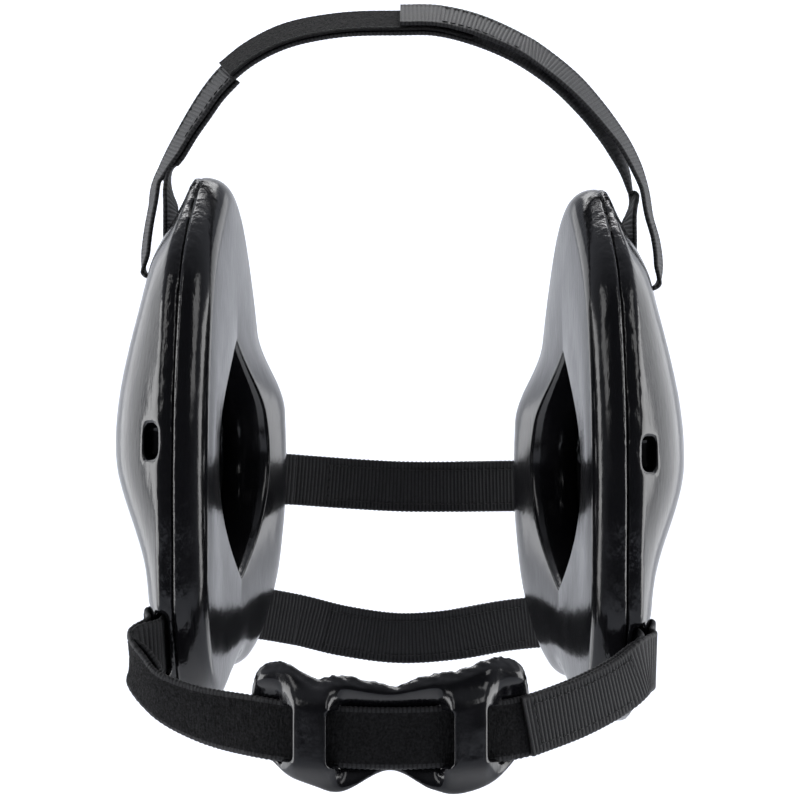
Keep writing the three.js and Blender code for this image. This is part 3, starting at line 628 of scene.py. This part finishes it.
def strap(name, route, thick=STRAP_THICK, rib=RIB_HEIGHT, step=RIB_PITCH / 6, pile=0.0, pile_runs=()):
    """Rounded ribbon along a route: ribs raise both faces with the run, and beads swell both edges.

    pile is the height of the loops on the outer face, and pile_runs the shares of the run that have them.
    """
    middle, side, face, run = sampled(route, step)
    across = np.array([-1, -0.985, -0.94, -0.88, -0.6, -0.3, 0, 0.3, 0.6, 0.88, 0.94, 0.985, 1])
    full = np.array([0, 0.55, 0.95, 0.8, 1, 1, 1, 1, 1, 0.8, 0.95, 0.55, 0])
    if pile:
        fine = np.linspace(-0.9, 0.9, 25)
        across = np.concatenate([across[:3], fine, across[-3:]])
        full = np.concatenate([full[:3], np.ones(len(fine)), full[-3:]])
    a = np.concatenate([across, across[-2:0:-1]])
    b = np.concatenate([full, -full[-2:0:-1]])
    ribs = np.abs(np.sin(math.pi * run / RIB_PITCH))[:, None]
    beads = np.sin(2 * math.pi * run / BEAD_PITCH)[:, None]
    inner = (np.abs(a) < 0.9)[None, :]
    share = run / run[-1]
    looped = np.zeros(len(run), bool)
    for low, high in pile_runs:
        looped |= (share >= low) & (share <= high)
    outside = (b < 0)[None, :] & inner & looped[:, None]
    rng = np.random.default_rng(7)
    lift = b[None, :] * thick / 2 + np.sign(b)[None, :] * inner * rib * (ribs - 1) * ~outside
    lift = lift - outside * pile * (rng.random(lift.shape) - 0.45)
    reach = a[None, :] * STRAP_WIDTH / 2 + (np.sign(a) * (np.abs(a) > 0.93))[None, :] * 0.12 * beads
    verts = middle[:, None] + side[:, None] * reach[..., None] + face[:, None] * lift[..., None]
    uv = np.stack(np.broadcast_arrays(a[None, :] * STRAP_WIDTH / 2, run[:, None]), -1).reshape(-1, 2)
    points, faces = ring_body(verts)
    obj = mesh_object(name, points, faces, uv)
    piled = outside[:-1] & outside[1:] & np.roll(outside, -1, 1)[:-1]
    index = np.zeros(len(obj.data.polygons), np.int32)
    index[:piled.size] = piled.ravel()
    obj.data.polygons.foreach_set("material_index", index)
    return obj, run[-1]


def thread_line(route, across, run_from, run_to, outward, thick=STRAP_THICK):
    """Frames of the stitches of one row, at even steps along a strap and at one place across it."""
    middle, side, face, run = sampled(route, MEASURE_STEP)
    length = run[-1]
    start, stop = run_from * length, run_to * length
    want = np.arange(start, stop, STITCH_PITCH)

    def at(field):
        return np.stack([np.interp(want, run, field[:, k]) for k in range(3)], -1)

    out = unit(at(face)) * outward
    place = at(middle) + unit(at(side)) * across + out * (thick / 2 - 0.02)
    return place, unit(np.cross(at(side), at(face))), unit(at(side)), out


def cross_line(route, run_share, across_from, across_to, outward, thick=STRAP_THICK):
    """Frames of the stitches of one row across a strap, at one place along its run."""
    middle, side, face, run = sampled(route, MEASURE_STEP)
    k = min(int(run_share * len(run)), len(run) - 1)
    want = np.arange(across_from, across_to, STITCH_PITCH)[:, None]
    out = np.tile(face[k] * outward, (len(want), 1))
    place = middle[k] + side[k] * want + out * (thick / 2 - 0.02)
    return place, np.tile(side[k], (len(want), 1)), np.tile(np.cross(face[k], side[k]), (len(want), 1)), out


def stitches(name, lines):
    """One small thread at each frame: a sphere drawn out along the row, 6 sides by 4 rings."""
    place, along, beside, out = (np.vstack(part) for part in zip(*lines))
    turn = np.linspace(0, 2 * math.pi, 6, endpoint=False)
    ring = np.array([-0.94, -0.5, 0.5, 0.94])
    size = np.sqrt(1 - ring**2)
    x = np.repeat(ring[:, None], 6, 1) * STITCH_LENGTH / 2
    y = size[:, None] * np.cos(turn)[None, :] * THREAD / 2
    z = size[:, None] * np.sin(turn)[None, :] * THREAD / 2
    local = np.stack([x, y, z], -1).reshape(-1, 3)
    verts = (place[:, None] + along[:, None] * local[None, :, :1] + beside[:, None] * local[None, :, 1:2]
             + out[:, None] * local[None, :, 2:])
    body = grid_faces(4, 6).tolist() + [[5, 4, 3, 2, 1, 0], [18, 19, 20, 21, 22, 23]]
    faces = [[v + 24 * k for v in face] for k in range(len(place)) for face in body]
    return mesh_object(name, verts.reshape(-1, 3), faces)


# Chin pad


def chin_wave(x, height):
    """How far the pad stands forward: its bars in front of the strap, middle and ends behind."""
    beside = np.abs(np.abs(x) - CHIN_BAR_SPACING / 2) - CHIN_BAR_WIDTH / 2
    bar = 1 - 2 * ease((beside + 1) / (CHIN_SLOT_WIDTH + 2))
    calm = 1 - 0.8 * ease((np.abs(height) - STRAP_WIDTH / 2 + 1) / (0.4 * STRAP_WIDTH))
    return CHIN_PAD_WAVE * bar * calm


def crease_top(obj):
    """Wrinkle the pad's top face: crossed sines of the place along it, faded below the top edge."""
    count = len(obj.data.vertices)
    place = np.zeros(count * 3, np.float32)
    obj.data.vertices.foreach_get("co", place)
    place = place.reshape(-1, 3) / MM
    x = place[:, 0] - CHIN_SHIFT
    height = place[:, 2] - chin_line(x)[:, 2]
    shares = spline([(a * CHIN_PAD_LENGTH / 2, b * CHIN_PAD_HEIGHT, 0) for a, b, _ in CHIN_PAD_OUTLINE],
                    np.linspace(0, 1, 200))
    top = np.interp(x, shares[:, 0], shares[:, 1])
    near = ease(1 - (top - height) / CREASE_REACH)
    folds = np.sin(1.7 * x + 2.6 * np.sin(0.37 * x)) + np.sin(0.9 * x + 1.9 * place[:, 1])
    folds = folds * CREASE_HEIGHT
    pinch = PINCH_DEPTH * np.exp(-((x - PINCH_PLACE) / PINCH_WIDTH) ** 2)
    place[:, 2] += near * (folds * (0.4 + np.exp(-((np.abs(x) - 18) / 14) ** 2)) - pinch)
    obj.data.vertices.foreach_set("co", (place * MM).astype(np.float32).ravel())
    obj.data.update()
    layer = obj.data.attributes.new("rim", "FLOAT", "POINT")
    layer.data.foreach_set("value", near.astype(np.float32))


def chin_pad(name):
    """Rounded sections from end to end of the outline, bevelled at the top front and waved."""
    t = np.linspace(0, 1, 150)
    outline = spline([(a * CHIN_PAD_LENGTH / 2, b, c) for a, b, c in CHIN_PAD_OUTLINE], t)
    x = outline[:, 0]
    high, low = outline[:, 1] * CHIN_PAD_HEIGHT, outline[:, 2] * CHIN_PAD_HEIGHT
    end = np.sqrt(np.clip(1 - np.abs(x / (CHIN_PAD_LENGTH / 2)) ** 16, 0.12, 1))
    turn = np.linspace(0, 2 * math.pi, 72, endpoint=False)
    up = np.sign(np.sin(turn)) * np.abs(np.sin(turn)) ** 0.35
    front = np.sign(np.cos(turn)) * np.abs(np.cos(turn)) ** 0.22
    height = ((high + low)[:, None] + up[None, :] * (high - low)[:, None]) / 2
    height = height - CHIN_PAD_BEVEL * (ease((front + 0.8) / 1.8) * ease((up - 0.3) / 0.6))[None, :]
    line = chin_line(x)
    verts = np.repeat(line[:, None, :], len(turn), 1)
    verts[..., 1] -= chin_wave(x[:, None], height) + front[None, :] * CHIN_PAD_THICK / 2 * end[:, None]
    verts[..., 2] += height
    obj = body_object(name, verts)
    right, across, left = chin_run()
    run = joined(right, across, backwards(left))
    cutters = [ribbon_cutter(*run, thick=STRAP_THICK + 2 * GAP, width=STRAP_WIDTH + 2 * GAP)]
    for bar in (-1, 1):
        for beside in (-1, 1):
            middle = CHIN_BAR_SPACING / 2 * bar + (CHIN_BAR_WIDTH + CHIN_SLOT_WIDTH) / 2 * beside
            at = chin_line(np.float64(middle))
            half_height = STRAP_WIDTH / 2 - CHIN_SLOT_CLOSE
            half = np.array([CHIN_SLOT_WIDTH / 2, 2 * CHIN_PAD_THICK, half_height])
            ring = [(-1, -1), (1, -1), (1, 1), (-1, 1)]
            cutters.append(body_object("cutter", [[at + half * [a, b, c] for a, b in ring] for c in (-1, 1)]))
    cut(obj, cutters)
    soften(obj, CHIN_CELL, CHIN_ROUNDS)
    crease_top(obj)
    return obj


# Materials


def value_group(name, inputs, build):
    """A shader group with named number inputs, a Vector input and one Value output."""
    group = bpy.data.node_groups.new(name, "ShaderNodeTree")
    group.interface.new_socket("Vector", in_out="INPUT", socket_type="NodeSocketVector")
    for label in inputs:
        group.interface.new_socket(label, in_out="INPUT", socket_type="NodeSocketFloat")
    group.interface.new_socket("Value", in_out="OUTPUT", socket_type="NodeSocketFloat")
    source = group.nodes.new("NodeGroupInput")
    target = group.nodes.new("NodeGroupOutput")
    group.links.new(build(group, source), target.inputs["Value"])
    return group


def noise_build(group, source):
    noise = group.nodes.new("ShaderNodeTexNoise")
    noise.inputs["Detail"].default_value = 4
    group.links.new(source.outputs["Vector"], noise.inputs["Vector"])
    group.links.new(source.outputs["Scale"], noise.inputs["Scale"])
    return noise.outputs["Fac"]


def new_material(name):
    material = bpy.data.materials.new(name)
    material.use_nodes = True
    nodes = material.node_tree.nodes
    return material, nodes, material.node_tree.links, nodes["Principled BSDF"]


def place_group(nodes, links, group, vector, **values):
    node = nodes.new("ShaderNodeGroup")
    node.node_tree = group
    links.new(vector, node.inputs["Vector"])
    for label, value in values.items():
        node.inputs[label].default_value = value
    return node.outputs["Value"]


def bump(nodes, links, height, strength, distance, normal=None):
    node = nodes.new("ShaderNodeBump")
    node.inputs["Strength"].default_value = strength
    node.inputs["Distance"].default_value = distance
    links.new(height, node.inputs["Height"])
    if normal is not None:
        links.new(normal, node.inputs["Normal"])
    return node.outputs["Normal"]


def object_vector(nodes, links, scale=(1, 1, 1)):
    coords = nodes.new("ShaderNodeTexCoord")
    mapping = nodes.new("ShaderNodeMapping")
    mapping.inputs["Scale"].default_value = scale
    links.new(coords.outputs["Object"], mapping.inputs["Vector"])
    return mapping.outputs["Vector"]


def ramp(nodes, links, value, low, high, to_low, to_high):
    node = nodes.new("ShaderNodeMapRange")
    for label, number in (("From Min", low), ("From Max", high), ("To Min", to_low), ("To Max", to_high)):
        node.inputs[label].default_value = number
    links.new(value, node.inputs["Value"])
    return node.outputs["Result"]


def vinyl_material(noise):
    """Glossy black skin: fine brushing all over, and wrinkles where the rim attribute is high."""
    material, nodes, links, shader = new_material("dipped_vinyl")
    shader.inputs["Base Color"].default_value = (0.0045, 0.0045, 0.0055, 1)
    shader.inputs["IOR"].default_value = 1.5
    fine = place_group(nodes, links, noise, object_vector(nodes, links, (1, 1, 0.2)), Scale=700.0)
    broad = place_group(nodes, links, noise, object_vector(nodes, links), Scale=55.0)
    folds = place_group(nodes, links, noise, object_vector(nodes, links, (1, 1, 0.35)), Scale=260.0)
    links.new(ramp(nodes, links, broad, 0.3, 0.7, 0.1, 0.2), shader.inputs["Roughness"])
    rim = nodes.new("ShaderNodeAttribute")
    rim.attribute_name = "rim"
    creased = nodes.new("ShaderNodeMath")
    creased.operation = "MULTIPLY"
    links.new(folds, creased.inputs[0])
    links.new(rim.outputs["Fac"], creased.inputs[1])
    normal = bump(nodes, links, fine, 0.12, 0.0004)
    normal = bump(nodes, links, broad, 0.12, 0.002, normal)
    links.new(bump(nodes, links, creased.outputs["Value"], 0.4, 0.0015, normal), shader.inputs["Normal"])
    return material


def rib_shade_build(group, source):
    """Absolute sine of the run over the pitch: painted shade, dark in the grooves and light on the ribs."""
    split = group.nodes.new("ShaderNodeSeparateXYZ")
    group.links.new(source.outputs["Vector"], split.inputs["Vector"])
    result = split.outputs["Y"]
    for operation in ("DIVIDE", "SINE", "ABSOLUTE"):
        node = group.nodes.new("ShaderNodeMath")
        node.operation = operation
        group.links.new(result, node.inputs[0])
        if operation == "DIVIDE":
            group.links.new(source.outputs["Pitch"], node.inputs[1])
        result = node.outputs["Value"]
    return result


def cloth_material(noise, name, dark, light, roughness, scale, depth, ribs=None):
    """Matte black cloth: fibres mottled by fine noise, with painted shade darkening the grooves between its
    ribs.
    """
    material, nodes, links, shader = new_material(name)
    shader.inputs["Roughness"].default_value = roughness
    shader.inputs["Specular IOR Level"].default_value = 0.3
    fine = place_group(nodes, links, noise, object_vector(nodes, links), Scale=scale)
    mix = nodes.new("ShaderNodeMix")
    mix.data_type = "RGBA"
    mix.inputs["A"].default_value = (dark, dark, dark * 1.08, 1)
    mix.inputs["B"].default_value = (light, light, light * 1.06, 1)
    shade = ramp(nodes, links, fine, 0.35, 0.68, 0.0, 1.0)
    # Painted shade: the colour darkens in the grooves between the ribs, following the run.
    if ribs:
        run = nodes.new("ShaderNodeUVMap")
        run.uv_map = "run"
        groove_shade = place_group(nodes, links, ribs, run.outputs["UV"], Pitch=RIB_PITCH * MM / math.pi)
        both = nodes.new("ShaderNodeMath")
        both.operation = "MULTIPLY"
        links.new(ramp(nodes, links, groove_shade, 0.15, 0.8, 0.0, 1.0), both.inputs[0])
        links.new(ramp(nodes, links, fine, 0.2, 0.6, 0.35, 1.0), both.inputs[1])
        shade = both.outputs["Value"]
    links.new(shade, mix.inputs["Factor"])
    links.new(mix.outputs["Result"], shader.inputs["Base Color"])
    links.new(bump(nodes, links, fine, 0.6, depth), shader.inputs["Normal"])
    return material


noise_group = value_group("fine_noise", ["Scale"], noise_build)
VINYL = vinyl_material(noise_group)
# This group paints shade into the webbing's grooves between its ribs.
rib_shade_group = value_group("rib_shade", ["Pitch"], rib_shade_build)
WEBBING = cloth_material(noise_group, "webbing", 0.002, 0.024, 0.55, 2400.0, 0.0003, rib_shade_group)
FUZZ = cloth_material(noise_group, "loop_fuzz", 0.0015, 0.014, 0.9, 1300.0, 0.0007)
THREADS = cloth_material(noise_group, "thread", 0.005, 0.012, 0.45, 3000.0, 0.0002)


def finish_piece(obj, material, slot, *nodes):
    obj.data.materials.append(material)
    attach(obj, "root")
    if nodes:
        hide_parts(*nodes)
    return obj


for word, side in (("right", -1), ("left", 1)):
    finish_piece(outer_shell(f"{word}_shell_skin", side), VINYL, "dipped_vinyl", f"{word}_outer_shell")
    pad = finish_piece(inner_pad(f"{word}_pad_skin", side), VINYL, "dipped_vinyl", f"{word}_inner_pad")

top_route, tape_route, right_arch, top_end = top_routes()
upper_route, upper_between, upper_end = rear_route(SLOTS["rear_upper"], REAR_UPPER_LINE)
lower_route, lower_between, lower_end = rear_route(SLOTS["rear_lower"], REAR_LOWER_LINE)
whole_chin_route, chin_end = chin_route()
STRAPS = [
    ("top", "top_strap", top_route, ()),
    ("rear_upper", "rear_upper_strap", upper_route, ()),
    ("rear_lower", "rear_lower_strap", lower_route, ()),
    ("chin", "chin_strap", whole_chin_route, (CHIN_PILE_RUN,)),
]
for word, node, route, pile_runs in STRAPS:
    pile = PILE_HEIGHT if pile_runs else 0.0
    webbing, length = strap(f"{word}_webbing", route, pile=pile, pile_runs=pile_runs)
    finish_piece(webbing, WEBBING, "webbing", node)
    webbing.data.materials.append(FUZZ)
tape, length = strap("top_fuzz", tape_route, LOOP_TAPE_THICK, 0.0, PILE_STEP, PILE_HEIGHT,
                     ((0, 1),))
finish_piece(tape, FUZZ, "loop_fuzz", "top_loop_tape")
chin = finish_piece(chin_pad("chin_pad_skin"), VINYL, "dipped_vinyl", "chin_pad")

# Stitches: rows along the strap's edges and rows across it, each on one face

REAR_SEWN = (-27.0, 47.0)
REAR_CROSS = -52.0
CHIN_SEWN = (74.0, 42.0)
lines = []
for between in (upper_between, lower_between):
    start, stop = (share_at(between, x) for x in REAR_SEWN)
    for across in (-STITCH_ROW, STITCH_ROW):
        lines.append(thread_line(between, across, start, stop, 1))
        lines.append(thread_line(between, across, start, stop, -1))
    lines.append(cross_line(between, start, -STITCH_ROW, STITCH_ROW, 1))
    lines.append(cross_line(between, start, -STITCH_ROW, STITCH_ROW, -1))
    lines.append(cross_line(between, share_at(between, REAR_CROSS), -STITCH_ROW, STITCH_ROW, -1))
for end in (upper_end, lower_end):
    for across in (-STITCH_ROW, STITCH_ROW):
        lines.append(thread_line(end, across, 0.25, 0.96, 1))
    lines.append(cross_line(end, 0.96, -STITCH_ROW, STITCH_ROW, 1))
start, stop = (share_at(chin_end, x) for x in CHIN_SEWN)
for across in (-STITCH_ROW, STITCH_ROW):
    lines.append(thread_line(chin_end, across, start, stop, 1))
lines.append(cross_line(chin_end, start, -STITCH_ROW, STITCH_ROW, 1))
lines.append(cross_line(chin_end, stop, -STITCH_ROW, STITCH_ROW, 1))
for route, low, high in ((right_arch, 0.35, 0.8), (top_end, 0.03, 0.7)):
    for across in (-STITCH_ROW - 0.8, STITCH_ROW + 0.8):
        lines.append(thread_line(route, across, low, high, 1))
for across in (-STRAP_WIDTH / 2 + 1.2, STRAP_WIDTH / 2 - 1.2):
    lines.append(thread_line(tape_route, across, 0.02, 0.98, -1, LOOP_TAPE_THICK))
finish_piece(stitches("strap_stitches", lines), THREADS, "webbing")


# Floor, light and camera, in metres

FLOOR_LEVEL = -1.2
FLOOR_REACH = 6.0
WALL_FOOT = 1.6
WALL_BEND = 1.2
WALL_TOP = 4.0
CENTRE = (0.0, 0.0, -0.13)
CAMERA_PLACE = (0.0, -0.9, -0.127)
CAMERA_LENS = 118.9


def cove():
    """A pale floor that curves up into a back wall: a profile of floor, quarter circle and wall."""
    turn = np.linspace(0, math.pi / 2, 24)
    y = [[-FLOOR_REACH], WALL_FOOT + WALL_BEND * np.sin(turn), [WALL_FOOT + WALL_BEND]]
    z = [[FLOOR_LEVEL], FLOOR_LEVEL + WALL_BEND * (1 - np.cos(turn)), [WALL_TOP]]
    y, z = np.concatenate(y), np.concatenate(z)
    x = np.repeat([[-FLOOR_REACH], [FLOOR_REACH]], len(y), 1)
    verts = np.stack([x, np.tile(y, (2, 1)), np.tile(z, (2, 1))], -1)
    k = np.arange(len(y) - 1)
    faces = np.stack([k, k + len(y), k + len(y) + 1, k + 1], -1)
    mesh = bpy.data.meshes.new("cove")
    mesh.from_pydata(verts.reshape(-1, 3).tolist(), [], faces.tolist())
    mesh.polygons.foreach_set("use_smooth", np.ones(len(faces), bool))
    obj = bpy.data.objects.new("cove", mesh)
    bpy.context.scene.collection.objects.link(obj)
    material, nodes, links, shader = new_material("pale_floor")
    shader.inputs["Base Color"].default_value = (0.86, 0.86, 0.87, 1)
    shader.inputs["Roughness"].default_value = 0.9
    shader.inputs["Emission Color"].default_value = (0.84, 0.89, 1.0, 1)
    path = nodes.new("ShaderNodeLightPath")
    glow = ramp(nodes, links, path.outputs["Is Camera Ray"], 0, 1, 0.3, 0.62)
    links.new(glow, shader.inputs["Emission Strength"])
    mesh.materials.append(material)


def area_light(name, place, target, size, power):
    light = bpy.data.lights.new(name, "AREA")
    light.shape = "RECTANGLE"
    light.size, light.size_y = size
    light.energy = power
    obj = bpy.data.objects.new(name, light)
    obj.location = place
    obj.rotation_euler = (Vector(target) - Vector(place)).to_track_quat("-Z", "Y").to_euler()
    bpy.context.scene.collection.objects.link(obj)


def camera():
    data = bpy.data.cameras.new("camera")
    data.sensor_width = 36
    data.lens = CAMERA_LENS
    data.clip_start = 0.05
    obj = bpy.data.objects.new("camera", data)
    obj.location = CAMERA_PLACE
    obj.rotation_euler = (math.pi / 2, 0, 0)
    bpy.context.scene.collection.objects.link(obj)
    bpy.context.scene.camera = obj


cove()
# Pairs of soft boxes on either side: how far out, back and up, their size and their power
for word, (out, back, up), size, power in (
    ("", (1.3, 0.0, -0.05), (0.8, 0.8), 9),
    ("rear_", (1.5, 1.2, 0.1), (1.2, 1.8), 9),
    ("front_", (1.0, -1.0, 0.6), (0.4, 1.0), 3),
):
    area_light(f"{word}left_box", (-out, back, up), CENTRE, size, power)
    area_light(f"{word}right_box", (out, back, up), CENTRE, size, power)
area_light("top_box", (0.0, 0.7, 1.2), CENTRE, (1.1, 0.8), 10)
area_light("wall_wash", (0.0, 1.0, 2.2), (0.0, 2.6, -0.2), (3.0, 0.6), 30)
camera()


def studio_world():
    """White room: bright behind the object and dim in front of it, plain white to the camera."""
    world = bpy.data.worlds.new("white_room")
    world.use_nodes = True
    nodes, links = world.node_tree.nodes, world.node_tree.links
    coords = nodes.new("ShaderNodeTexCoord")
    split = nodes.new("ShaderNodeSeparateXYZ")
    links.new(coords.outputs["Generated"], split.inputs["Vector"])
    room = nodes["Background"]
    room.inputs["Color"].default_value = (0.87, 0.9, 1.0, 1)
    links.new(ramp(nodes, links, split.outputs["Y"], -0.75, 0.5, 0.06, 0.7), room.inputs["Strength"])
    plain = nodes.new("ShaderNodeBackground")
    plain.inputs["Color"].default_value = (1, 1, 1, 1)
    plain.inputs["Strength"].default_value = 0.95
    path = nodes.new("ShaderNodeLightPath")
    mix = nodes.new("ShaderNodeMixShader")
    links.new(path.outputs["Is Camera Ray"], mix.inputs["Fac"])
    links.new(room.outputs["Background"], mix.inputs[1])
    links.new(plain.outputs["Background"], mix.inputs[2])
    links.new(mix.outputs["Shader"], nodes["World Output"].inputs["Surface"])
    bpy.context.scene.world = world


studio_world()
bpy.context.scene.view_settings.view_transform = "Standard"
